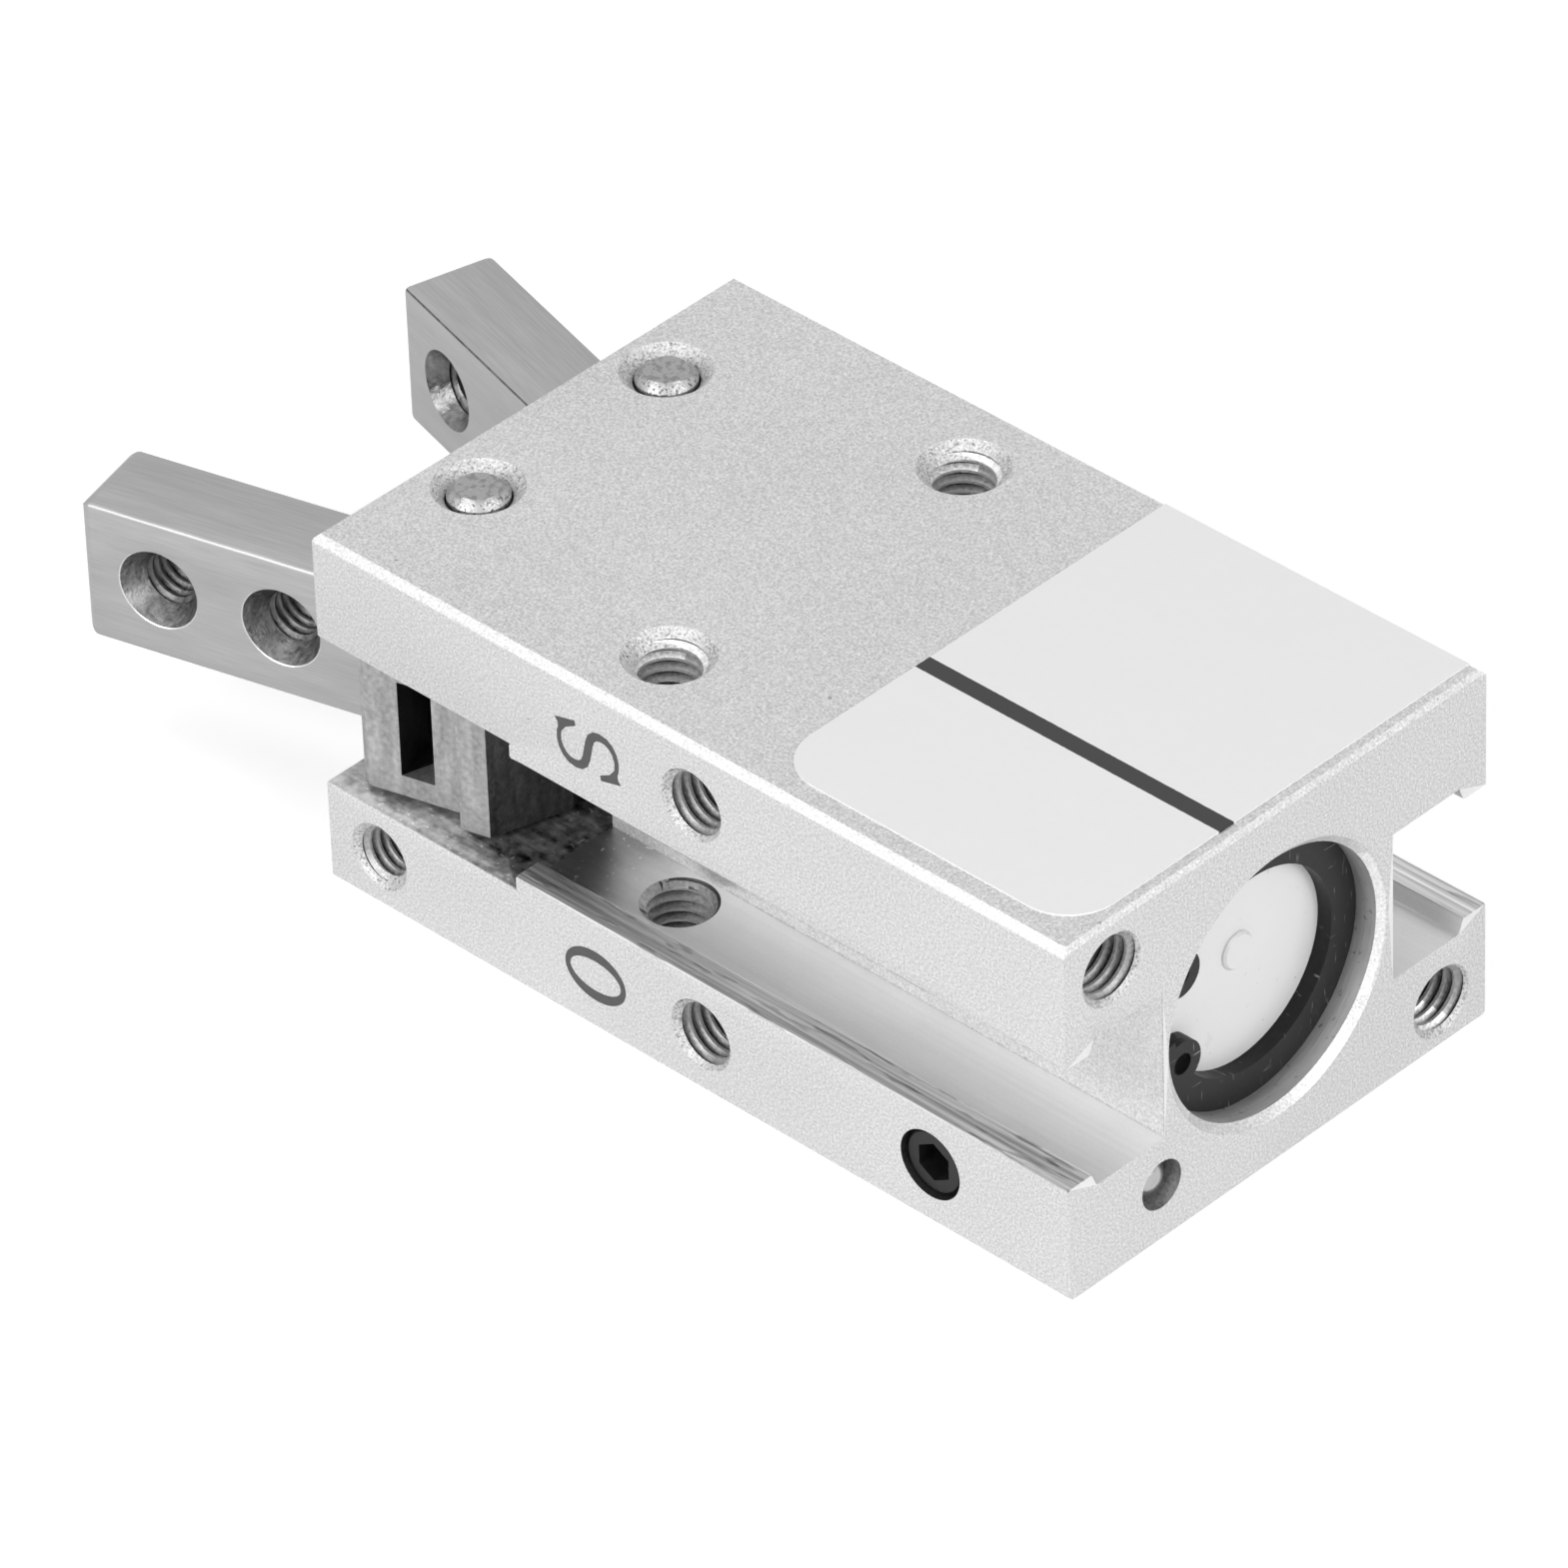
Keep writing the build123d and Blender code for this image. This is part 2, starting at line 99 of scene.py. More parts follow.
class Finish:  # a material being wired; lengths are millimetres in the object's own space
    def __init__(self, name):
        self.material = bpy.data.materials.new(name)
        self.material.use_nodes = True
        self.tree = self.material.node_tree
        self.tree.nodes.clear()
        metres = self.node("TexCoord", {}, {}, "Object")
        self.place = self.node("VectorMath", {"operation": "SCALE"}, {0: metres, "Scale": 1 / mm})
        self.x = self.node("SeparateXYZ", {}, {0: self.place}, 0)
        self.y = self.node("SeparateXYZ", {}, {0: self.place}, 1)
        self.z = self.node("SeparateXYZ", {}, {0: self.place}, 2)

    def node(self, kind, settings, sockets, out=0):
        made = self.tree.nodes.new("ShaderNode" + kind)
        for name, value in settings.items():
            setattr(made, name, value)
        for name, value in sockets.items():
            if isinstance(value, Wire):
                self.tree.links.new(value.socket, made.inputs[name])
            else:
                made.inputs[name].default_value = value
        return Wire(self, made.outputs[out] if len(made.outputs) else None)

    def turned(self, angle, centre):  # the place, measured along an arm's own axes
        moved = self.node("VectorMath", {"operation": "SUBTRACT"}, {0: self.place, 1: centre})
        turn = {"Vector": moved, "Angle": -angle}
        return self.node("VectorRotate", {"rotation_type": "Z_AXIS"}, turn)

    def noise(self, scale, detail=2.0, stretch=(1, 1, 1), place=None):  # scale is per mm
        points = {0: place or self.place, 1: stretch}
        stretched = self.node("VectorMath", {"operation": "MULTIPLY"}, points)
        return self.node("TexNoise", {}, {"Vector": stretched, "Scale": scale, "Detail": detail})

    def ramp(self, value, start, end):  # 0 before start, 1 past end, smooth between
        ends = {"Value": value, "From Min": start, "From Max": end}
        return self.node("MapRange", {"interpolation_type": "SMOOTHSTEP"}, ends)

    def band(self, value, start, end, soft):  # 1 between start and end
        rise = self.ramp(value, start - soft, start + soft)
        return rise * (1 - self.ramp(value, end - soft, end + soft))

    def mix(self, factor, first, second):
        colours = {0: factor, 6: first, 7: second}
        return self.node("Mix", {"data_type": "RGBA"}, colours, 2)

    def bump(self, height, depth):
        return self.node("Bump", {}, {"Distance": depth * mm, "Height": height})

    def done(self, sockets):
        surface = self.node("BsdfPrincipled", {}, sockets)
        self.node("OutputMaterial", {}, {"Surface": surface})
        return self.material


def grey(level):
    return (level, level, level, 1.0)


aluminiumSet = {
    "base": 0.56,
    "metal": 0.85,
    "roughness": 0.50,
    "grainSize": 0.095,  # blasted grain, mm
    "grainShade": 0.70,
    "grainDepth": 0.014,
    "edgeLight": 0.08,
    "channelBase": 0.69,
    "slotBase": 0.42,
    "cutBase": 0.90,
    "bevelBase": 0.53,
    "lipBase": 0.58,
    "flankBase": 0.76,
    "shadedFlankBase": 0.34,
    "webLight": 0.16,
    # painted shadow in the thread roots and on the plain dark hole walls
    "grooveBase": 0.05,
    "boreMouth": 0.60,
    "boreDeep": 0.16,
    "dustShade": 0.24,
    "nickShade": 0.22,
    "frontShade": 0.47,
    "frontSpecks": 0.34,
    "sunkShade": 0.22,
    "wornLight": 0.16,
    # between which places on the body the tones change, mm
    "edgeY": (11.05, 11.4),
    "edgeZ": (7.75, 8.1),
    "webX": (0.02, 0.1),
    "webY": (6.32, 6.40),
    "webZ": (3.3, 3.4),
    "frontX": (23.5, 28.0),
    "wornY": (10.7, 11.2),
    "sunkX": (30.5, 33.5),
    "boreX": (0.5, 1.9),
}


def blastedAluminium():
    own = aluminiumSet
    sh = Finish("blastedAluminium")
    grain = sh.noise(1 / own["grainSize"], detail=3.0)
    dust = sh.noise(3.1 / own["grainSize"], detail=1.0)
    cloud = sh.noise(0.14)
    across = sh.ramp(abs(sh.y), *own["edgeY"]) * sh.ramp(abs(sh.z), *own["edgeZ"])
    shade = own["base"] + grain.swing(own["grainShade"]) + dust.swing(own["dustShade"])
    nicks = sh.ramp(sh.noise(1.3, detail=3.0), 0.755, 0.775)
    # painted light: the web between the channels is made lighter than its shade would leave it
    web = sh.ramp(sh.x, *own["webX"]) * (1 - sh.ramp(abs(sh.z), *own["webZ"]))
    web = web * (1 - sh.ramp(abs(sh.y), *own["webY"])) * own["webLight"]
    shade = shade + cloud.swing(0.05) + across * own["edgeLight"] + web
    shade = shade - nicks * own["nickShade"]
    return sh.done({
        "Base Color": shade,
        "Metallic": own["metal"],
        "Roughness": own["roughness"] + dust.swing(0.25),
        "Normal": sh.bump(grain + dust * 0.5, own["grainDepth"]),
    })


def drawnAluminium():  # channels along the sides, as they leave the die
    own = aluminiumSet
    sh = Finish("drawnAluminium")
    streaks = sh.noise(1.0, detail=3.0, stretch=(0.06, 5.0, 5.0))
    patches = sh.noise(0.55, detail=3.0, stretch=(0.5, 1.0, 1.0))
    grain = sh.noise(1 / own["grainSize"])
    # painted shadow: towards the slot the channel floor darkens, flecked with light specks
    front = sh.ramp(sh.x + patches.swing(3), *own["frontX"])
    specks = sh.ramp(sh.noise(4.5), 0.66, 0.72) * front
    shade = own["channelBase"] + streaks.swing(0.10) + patches.swing(0.12)
    shade = shade - front * own["frontShade"] + specks * own["frontSpecks"]
    return sh.done({
        "Base Color": shade + grain.swing(0.07),
        "Metallic": own["metal"],
        "Roughness": 0.42 + patches.swing(0.2),
        "Normal": sh.bump(streaks * 0.6 + grain * 0.3, 0.006),
    })


def milledAluminium():  # the slot for the fingers, left rough by the cutter
    own = aluminiumSet
    sh = Finish("milledAluminium")
    rough = sh.noise(2.2, detail=4.0)
    lines = sh.noise(1.0, detail=3.0, stretch=(0.35, 3.2, 3.2))
    specks = sh.ramp(sh.noise(5.0), 0.64, 0.70)
    worn = sh.ramp(abs(sh.y) + rough.swing(0.8), *own["wornY"])
    # painted shadow: the slot floor darkens towards its back wall, behind the fingers
    sunk = 1 - sh.ramp(sh.x + lines.swing(3), *own["sunkX"])
    shade = own["slotBase"] + rough.swing(0.70) + lines.swing(0.55) - sunk * own["sunkShade"]
    return sh.done({
        "Base Color": shade + specks * 0.26 + worn * own["wornLight"],
        "Metallic": 0.8,
        "Roughness": 0.50 + rough.swing(0.3),
        "Normal": sh.bump(rough + lines * 0.5, 0.05),
    })


def wornAluminium():  # the lips along the channels, scraped lengthways
    own = aluminiumSet
    sh = Finish("wornAluminium")
    scrapes = sh.noise(1.0, detail=3.0, stretch=(0.10, 5.0, 5.0))
    tears = sh.ramp(sh.noise(1.0, stretch=(0.5, 4.0, 4.0)), 0.56, 0.64)
    return sh.done({
        "Base Color": own["lipBase"] + scrapes.swing(1.3) - tears * 0.22,
        "Metallic": 0.8,
        "Roughness": 0.42 + scrapes.swing(0.3),
        "Normal": sh.bump(scrapes + tears * 0.4, 0.03),
    })


def bevelAluminium():  # countersinks, blasted over and speckled
    own = aluminiumSet
    sh = Finish("bevelAluminium")
    grain = sh.noise(9.0, detail=3.0)
    specks = sh.ramp(sh.noise(10.0), 0.54, 0.62)
    return sh.done({
        "Base Color": own["bevelBase"] + grain.swing(0.8) - specks * 0.22,
        "Metallic": 0.75,
        "Roughness": 0.62 + grain.swing(0.3),
        "Normal": sh.bump(grain, 0.03),
    })


def turnedAluminium():  # the crests of the threads, torn, and bright both as cut metal and as a painted highlight
    own = aluminiumSet
    sh = Finish("turnedAluminium")
    torn = sh.noise(9.0, detail=3.0)
    specks = sh.ramp(sh.noise(13.0), 0.60, 0.68)
    return sh.done({
        "Base Color": own["cutBase"] + torn.swing(0.5) - specks * 0.28,
        "Metallic": 0.85,
        "Roughness": 0.44 + torn.swing(0.3),
        "Normal": sh.bump(torn, 0.03),
    })


def threadMetal(name, base):  # flanks and roots of the threads, where dirt gathers and shadow is painted
    sh = Finish(name)
    torn = sh.noise(7.0, detail=3.0)
    return sh.done({
        "Base Color": base + torn.swing(base * 1.4),
        "Metallic": 0.7,
        "Roughness": 0.45 + torn.swing(0.3),
        "Normal": sh.bump(torn, 0.02),
    })


def boredAluminium():  # the step for the cap, with marks of the boring tool round it, its wall painted darker with depth as shade
    own = aluminiumSet
    sh = Finish("boredAluminium")
    rings = sh.noise(1.0, stretch=(12.0, 0.6, 0.6))
    stain = sh.noise(0.7, detail=3.0)
    pits = sh.ramp(sh.noise(3.2, detail=3.0), 0.62, 0.70)
    # painted shade: the wall darkens from the mouth inwards
    deep = sh.ramp(sh.x + stain.swing(0.8), *own["boreX"])
    shade = own["boreMouth"] + deep * (own["boreDeep"] - own["boreMouth"])
    return sh.done({
        "Base Color": shade + rings.swing(0.16) + stain.swing(0.3) - pits * 0.2,
        "Metallic": 0.7,
        "Roughness": 0.5 + rings.swing(0.2),
        "Normal": sh.bump(rings + stain * 0.4, 0.012),
    })


pistonSet = {"base": 0.66, "roughness": 0.28}


def turnedPiston():
    own = pistonSet
    sh = Finish("turnedPiston")
    rings = sh.noise(1.0, stretch=(14.0, 1.0, 1.0))
    grain = sh.noise(5.0)
    return sh.done({
        "Base Color": own["base"] + rings.swing(0.12) + grain.swing(0.10),
        "Metallic": 0.95,
        "Roughness": own["roughness"] + grain.swing(0.15),
        "Normal": sh.bump(rings * 0.5 + grain, 0.006),
    })


steelSet = {
    "ground": 0.37,
    "groundRoughness": 0.44,
    "sintered": 0.33,
    "lean": math.radians(15),
    "hub": (2.8, 3.0),  # where the hub ends along the arm, mm
    "hubRoughness": 0.12,
}


def fingerSteel(name, hand):  # ground arm, sintered hub and heel
    own = steelSet
    sh = Finish(name)
    pivot = (pivotPlace[0], hand * pivotPlace[1], 0)
    place = sh.turned(hand * own["lean"], pivot)
    along = sh.node("SeparateXYZ", {}, {0: place}, 0)
    hub = 1 - sh.ramp(along, *own["hub"])
    scratches = sh.noise(1.0, detail=4.0, stretch=(0.5, 16.0, 16.0), place=place)
    broad = sh.noise(1.0, stretch=(0.12, 1.2, 1.2), place=place)
    grain = sh.noise(4.5, detail=3.0)
    ground = own["ground"] + scratches.swing(0.15) + broad.swing(0.10)
    streaks = sh.noise(1.0, detail=3.0, stretch=(2.5, 2.5, 0.4))
    sintered = own["sintered"] + grain.swing(0.30) + streaks.swing(0.28)
    return sh.done({
        "Base Color": sh.mix(hub, ground, sintered),
        "Metallic": 1.0,
        "Roughness": own["groundRoughness"] + broad.swing(0.1) + hub * own["hubRoughness"],
        "Normal": sh.bump(scratches * (1 - hub) * 0.4 + grain * hub, 0.008),
    })


def darkSteel(name, base, roughness=0.45):  # drilled and broached faces, and the rough heel; dark as painted shadow in the thread roots, the pocket and on the heel's rear face
    sh = Finish(name)
    torn = sh.noise(5.0, detail=3.0)
    streaks = sh.noise(1.0, detail=3.0, stretch=(3.0, 3.0, 0.6))
    return sh.done({
        "Base Color": base + torn.swing(base * 1.2) + streaks.swing(base * 1.4),
        "Metallic": 0.9,
        "Roughness": roughness + torn.swing(0.3),
        "Normal": sh.bump(torn + streaks, 0.025),
    })


pinSet = {"flat": 0.36, "bright": 0.46, "crown": (0.92, 1.08)}  # crown in mm from the axis


def wornPin():  # pivot pins, peened over: torn flat, and a crown painted bright as a highlight on its chamfer
    own = pinSet
    sh = Finish("wornPin")
    x, y = sh.x - pivotPlace[0], abs(sh.y) - pivotPlace[1]
    square = x * x + y * y
    radius = square.math("POWER", square, 0.5)
    tears = sh.noise(4.2, detail=4.0)
    dark = sh.ramp(tears, 0.46, 0.64)
    specks = sh.ramp(sh.noise(8.0), 0.56, 0.64)
    # painted highlight: the chamfered crown is lighter all round
    crown = sh.ramp(radius + tears.swing(0.2), *own["crown"])
    flat = own["flat"] - dark * 0.16 + tears.swing(0.2)
    return sh.done({
        "Base Color": sh.mix(crown, flat, own["bright"] - specks * 0.30),
        "Metallic": 1.0,
        "Roughness": 0.36 + tears.swing(0.2),
        "Normal": sh.bump(tears + specks * 0.4, 0.03),
    })


def plainSteel(name, base, roughness, marks=0.2):
    sh = Finish(name)
    grain = sh.noise(4.0, detail=3.0)
    wear = sh.noise(0.8, detail=3.0)
    return sh.done({
        "Base Color": base + grain.swing(marks * base * 2) + wear.swing(0.06),
        "Metallic": 1.0,
        "Roughness": roughness + wear.swing(0.12),
        "Normal": sh.bump(grain, 0.006),
    })


blackSet = {"base": 0.010, "bare": 0.20, "roughness": 0.42, "gloss": 0.22}


def blackSteel():  # black oxide, scratched down to grey in places
    own = blackSet
    sh = Finish("blackSteel")
    first = sh.noise(1.0, stretch=(1.0, 9.0, 0.7))
    second = sh.noise(1.0, stretch=(1.0, 0.8, 8.0))
    bare = sh.ramp(first, 0.68, 0.76) + sh.ramp(second, 0.70, 0.78)
    grain = sh.noise(3.0, detail=3.0)
    return sh.done({
        "Base Color": own["base"] + bare * own["bare"] + grain.swing(0.012),
        "Metallic": bare * 0.8,
        "Roughness": own["roughness"] + grain.swing(0.2),
        "Specular IOR Level": own["gloss"],
        "Normal": sh.bump(grain, 0.006),
    })


plasticSet = {"base": 0.73, "dirt": 0.22, "roughness": 0.34}


def whitePlastic():  # moulded cap, with faint flow marks and specks of dirt
    own = plasticSet
    sh = Finish("whitePlastic")
    flow = sh.noise(0.35)
    marks = sh.ramp(sh.noise(1.4), 0.66, 0.74)
    dirt = sh.ramp(sh.noise(3.4, detail=3.0), 0.70, 0.75)
    return sh.done({
        "Base Color": own["base"] + flow.swing(0.05) - marks * 0.06 - dirt * own["dirt"],
        "Roughness": own["roughness"] + flow.swing(0.15),
        "Normal": sh.bump(flow + marks * 0.2, 0.02),
    })


rubberSet = {"base": 0.020, "roughness": 0.55}


def sealRubber():
    own = rubberSet
    sh = Finish("sealRubber")
    bloom = sh.noise(1.2, detail=3.0)
    grain = sh.noise(9.0)
    return sh.done({
        "Base Color": own["base"] + bloom.swing(0.016) + grain.swing(0.01),
        "Roughness": own["roughness"] + bloom.swing(0.2),
        "Normal": sh.bump(grain, 0.008),
    })


bronzeSet = {
    "dull": (0.58, 0.42, 0.20, 1),
    "bright": (0.66, 0.52, 0.30, 1),
    "pore": (0.20, 0.13, 0.06, 1),
    "roughness": 0.42,
}


def bushBronze():  # sintered bronze, open-pored
    own = bronzeSet
    sh = Finish("bushBronze")
    pores = sh.ramp(sh.noise(8.0, detail=3.0), 0.62, 0.56)
    tarnish = sh.noise(0.9, detail=3.0)
    metal = sh.mix(tarnish, own["dull"], own["bright"])
    return sh.done({
        "Base Color": sh.mix(pores, own["pore"], metal),
        "Metallic": 1.0,
        "Roughness": own["roughness"] + tarnish.swing(0.2),
        "Normal": sh.bump(pores, 0.008),
    })


magnetSet = {"base": 0.13, "roughness": 0.45}


def magnetMetal():
    own = magnetSet
    sh = Finish("magnetMetal")
    grain = sh.noise(6.0, detail=3.0)
    return sh.done({
        "Base Color": own["base"] + grain.swing(0.08),
        "Metallic": 0.7,
        "Roughness": own["roughness"] + grain.swing(0.2),
        "Normal": sh.bump(grain, 0.01),
    })


labelSet = {"film": 0.80, "line": 0.012, "lineY": (1.73, 2.53)}  # the line's two sides in mm


def labelFilm():
    own = labelSet
    sh = Finish("labelFilm")
    fibre = sh.noise(2.5)
    ripple = sh.noise(0.25)
    waver = sh.noise(6.0).swing(0.03)
    line = sh.band(sh.y + waver, *own["lineY"], 0.02)
    shade = own["film"] + fibre.swing(0.02)
    return sh.done({
        "Base Color": sh.mix(line, shade, grey(own["line"])),
        "Roughness": 0.42 + fibre.swing(0.1),
        "Normal": sh.bump(ripple, 0.03),
    })


inkSet = {"base": 0.045, "roughness": 0.5}


def inkBlack():
    own = inkSet
    sh = Finish("inkBlack")
    wear = sh.noise(5.0, detail=3.0)
    return sh.done({
        "Base Color": own["base"] + wear.swing(0.04),
        "Roughness": own["roughness"] + wear.swing(0.2),
    })


print("finishes made")


meshSet = {  # mm, and radians for the angle
    "weld": 0.0005,
    "copySliver": 0.0002,
    "cutSliver": 0.0005,
    "sharpAngle": 0.6,
}


def cleaned(piece, sliver):  # joins doubled points and drops edges shorter than a sliver
    mesh = bmesh.new()
    mesh.from_mesh(piece.data)
    bmesh.ops.remove_doubles(mesh, verts=mesh.verts, dist=meshSet["weld"] * mm)
    bmesh.ops.dissolve_degenerate(mesh, edges=mesh.edges, dist=sliver * mm)
    mesh.to_mesh(piece.data)
    mesh.free()


def ownCopy(node):  # a copy of a CAD node, its loose triangles joined
    piece = bpy.data.objects.new(node + "Fine", nodes[node].data.copy())
    bpy.context.scene.collection.objects.link(piece)
    cleaned(piece, meshSet["copySliver"])
    corners = piece.data.attributes.get("custom_normal")
    if corners:
        piece.data.attributes.remove(corners)
    return piece


def placing(mouth, outward):  # turns a shape drawn with its mouth at z=0, facing +Z, into place
    turn = Vector(outward).to_track_quat("Z", "Y").to_matrix().to_4x4()
    return Matrix.Translation(Vector(mouth) * mm) @ turn


def threadCutter(mouth, outward, depth, core, major, pitch, past=0.4, steps=36, phase=0):
    # one pitch of the thread's outline, as height in pitches and radius, is screwed round the
    # axis and cut square at both ends
    mesh = bmesh.new()
    outline = ((0, major), (0.125, major), (0.4375, core), (0.6875, core), (1, major))
    corners = [mesh.verts.new((r, 0, h * pitch)) for h, r in outline]
    edges = [mesh.edges.new(pair) for pair in zip(corners, corners[1:])]
    turns = math.ceil((depth + past) / pitch) + 3
    bmesh.ops.translate(mesh, verts=mesh.verts, vec=(0, 0, -depth - 1.5 * pitch - phase))
    bmesh.ops.spin(
        mesh, geom=corners + edges, cent=(0, 0, 0), axis=(0, 0, 1), dvec=(0, 0, pitch / steps),
        angle=math.tau * turns, steps=steps * turns, use_duplicate=False,
    )
    bmesh.ops.remove_doubles(mesh, verts=mesh.verts, dist=pitch / 500)
    for level, side in ((-depth, -1), (past, 1)):
        whole = mesh.verts[:] + mesh.edges[:] + mesh.faces[:]
        bmesh.ops.bisect_plane(
            mesh, geom=whole, plane_co=(0, 0, level), plane_no=(0, 0, side), clear_outer=True
        )
        rim = [edge for edge in mesh.edges if edge.is_boundary]
        rim = [edge for edge in rim if all(abs(v.co.z - level) < 1e-4 for v in edge.verts)]
        bmesh.ops.edgeloop_fill(mesh, edges=rim)
    return cutter(mesh, mouth, outward)


def coneCutter(mouth, outward, wide, narrow, depth, past=0.05):
    mesh = bmesh.new()
    slope = (wide - narrow) / depth
    bmesh.ops.create_cone(
        mesh, cap_ends=True, segments=48, radius1=narrow, radius2=wide + slope * past,
        depth=depth + past,
    )
    bmesh.ops.translate(mesh, verts=mesh.verts, vec=(0, 0, (past - depth) / 2))
    return cutter(mesh, mouth, outward)


def cutter(mesh, mouth, outward):
    bmesh.ops.recalc_face_normals(mesh, faces=mesh.faces)
    bmesh.ops.scale(mesh, verts=mesh.verts, vec=(mm, mm, mm))
    bmesh.ops.transform(mesh, verts=mesh.verts, matrix=placing(mouth, outward))
    tool = bpy.data.objects.new("tool", bpy.data.meshes.new("tool"))
    mesh.to_mesh(tool.data)
    mesh.free()
    bpy.context.scene.collection.objects.link(tool)
    return tool


def cut(piece, tools):
    for tool in tools:
        step = piece.modifiers.new("cut", "BOOLEAN")
        step.operation, step.solver, step.object = "DIFFERENCE", "MANIFOLD", tool
    bpy.context.view_layer.update()
    done = piece.evaluated_get(bpy.context.evaluated_depsgraph_get())
    fresh = bpy.data.meshes.new_from_object(done)
    piece.modifiers.clear()
    piece.data = fresh
    for tool in tools:
        bpy.data.objects.remove(tool)
    cleaned(piece, meshSet["cutSliver"])


def smoothed(piece, angle=30):
    piece.data.shade_smooth()
    piece.data.set_sharp_from_angle(angle=math.radians(angle))


threadSet = {  # radii and pitch, mm
    "large": {"core": 1.262, "major": 1.5, "pitch": 0.5},
    "small": {"core": 1.037, "major": 1.25, "pitch": 0.45},
}
holeSet = {  # mm, on the port side where the hole is on one side only
    "top": 8.2, "side": 11.5, "channel": 3.4, "mount": (23.2, 8.0), "mountPhase": 0.13,
    "rear": (9.0, 6.0), "port": (18.8, 5.4), "sideHole": (35.9, -5.7), "plug": (7.0, -5.3),
    "ball": (6.5, -5.5), "innerMouth": 1.56, "sideMouth": 1.475,
    "depths": {
        "mount": 5.2, "pivot": 4.6, "rear": 4.5, "port": 5.0, "sideHole": 3.5, "plug": 3.4,
        "ball": 2.6,
    },
}


def bodyHoles():
    # mouth, direction out, depth, and the thread: "bare" is a bright plain wall, None a wall
    # painted dark as shade
    own, deep, holes = holeSet, holeSet["depths"], []
    for hand in (1, -1):
        for level in (1, -1):
            x, y = own["mount"]
            holes.append(((x, hand * y, level * own["top"]), (0, 0, level), deep["mount"], "large"))
            x, y = pivotPlace
            holes.append(((x, hand * y, level * own["top"]), (0, 0, level), deep["pivot"], None))
        y, z = own["rear"]
        holes.append(((0, hand * y, hand * z), (-1, 0, 0), deep["rear"], "large"))
        x, z = own["port"]
        holes.append(((x, own["side"], hand * z), (0, 1, 0), deep["port"], "large"))
    for name, thread in (("sideHole", "small"), ("plug", None)):
        x, z = own[name]
        holes.append(((x, own["side"], z), (0, 1, 0), deep[name], thread))
    holes.append(((0, *own["ball"]), (-1, 0, 0), deep["ball"], "bare"))
    return holes


patchSet = {  # how the faces of a hole are told apart: mm, and cosines for the slopes
    "skin": 0.01,
    "pastEnd": 0.6,
    "reach": 1.92,
    "flatSlope": 0.99,
    "bevelSlopes": (0.5, 0.8),
    "bevelDepth": 1.2,
    "crestSlope": 0.5,
    "crestRise": 0.04,
    "rootRise": 0.03,
}


def threadPatch(place, normal, holes):  # what part of a hole a face is, or None outside the holes
    own = patchSet
    for mouth, outward, depth, thread in holes:
        apart, way = place - Vector(mouth), Vector(outward)
        level = apart.dot(way)
        radius = (apart - way * level).length
        if level > own["skin"] or level < -depth - own["pastEnd"] or radius > own["reach"]:
            continue
        slope = normal.dot(way)
        if slope > own["flatSlope"] and level > -own["skin"]:
            continue
        least, most = own["bevelSlopes"]
        if least < slope < most and level > -own["bevelDepth"]:
            return "bevel"
        if thread not in threadSet:
            return "flank" if thread else "groove"
        size = threadSet[thread]
        if radius < size["core"] + own["crestRise"]:
            return "crest" if abs(slope) < own["crestSlope"] else "groove"
        return "groove" if radius > size["major"] - own["rootRise"] else "flank"
    return None


faceSet = {  # how the other faces of the body are told apart: mm, and a cosine for the slope
    "bore": 6.1,
    "boreX": (0.29, 28.4),
    "slotX": 28.35,
    "slotZ": 3.46,
    "side": 11.49,
    "lipY": 10.2,
    "lipZ": 2.95,
    "channelZ": 3.42,
    "web": (6.2, 6.5),
    "webSlope": 0.9,
    "flange": 7.2,
}


def bodyPatch(place, normal, holes):  # which finish a face of the body has
    own = faceSet
    x, y, z = place
    part = threadPatch(place, normal, holes)
    # flanks inside the flanges take the shaded copy: painted shade
    if part == "flank" and abs(z) < own["flange"]:
        return "shadedFlank"
    if part:
        return part
    start, end = own["boreX"]
    if math.hypot(y, z) < own["bore"] and start < x < end:
        return "bored"
    if own["lipY"] < abs(y) < own["side"] and abs(z) < own["lipZ"] and x < own["slotX"]:
        return "worn"
    if x > own["slotX"] and abs(z) < own["slotZ"]:
        return "milled"
    inner, outer = own["web"]
    if abs(z) < own["channelZ"] and inner < abs(y) < own["side"]:
        return "blasted" if abs(normal.y) > own["webSlope"] and abs(y) < outer else "drawn"
    return "blasted"


def painted(piece, finishes, patch, holes):  # each face gets the finish that patch names
    piece.data.materials.clear()
    for finish in finishes.values():
        piece.data.materials.append(finish)
    order = list(finishes)
    for face in piece.data.polygons:
        face.material_index = order.index(patch(face.center / mm, face.normal, holes))


def softened(piece, chosen, offset, segments):  # rounds the chosen sharp edges
    mesh = bmesh.new()
    mesh.from_mesh(piece.data)
    sharp = [
        edge for edge in mesh.edges
        if len(edge.link_faces) == 2 and edge.calc_face_angle(0) > meshSet["sharpAngle"]
        and chosen(edge)
    ]
    bmesh.ops.bevel(
        mesh, geom=sharp, offset=offset * mm, segments=segments, affect="EDGES", profile=0.5,
        material=-1, clamp_overlap=True,
    )
    mesh.to_mesh(piece.data)
    mesh.free()


lipSet = {"run": 5, "level": 0.01, "y": 9.9, "z": 3.5, "round": 0.07, "segments": 2}  # mm


def lipEdge(edge):  # the edges of the lips that run along the two channels and the slot
    own = lipSet
    first, second = (vert.co / mm for vert in edge.verts)
    lengthways = abs(first.x - second.x) > own["run"] and abs(first.y - second.y) < own["level"]
    return lengthways and abs(first.y) > own["y"] and abs(first.z) < own["z"]


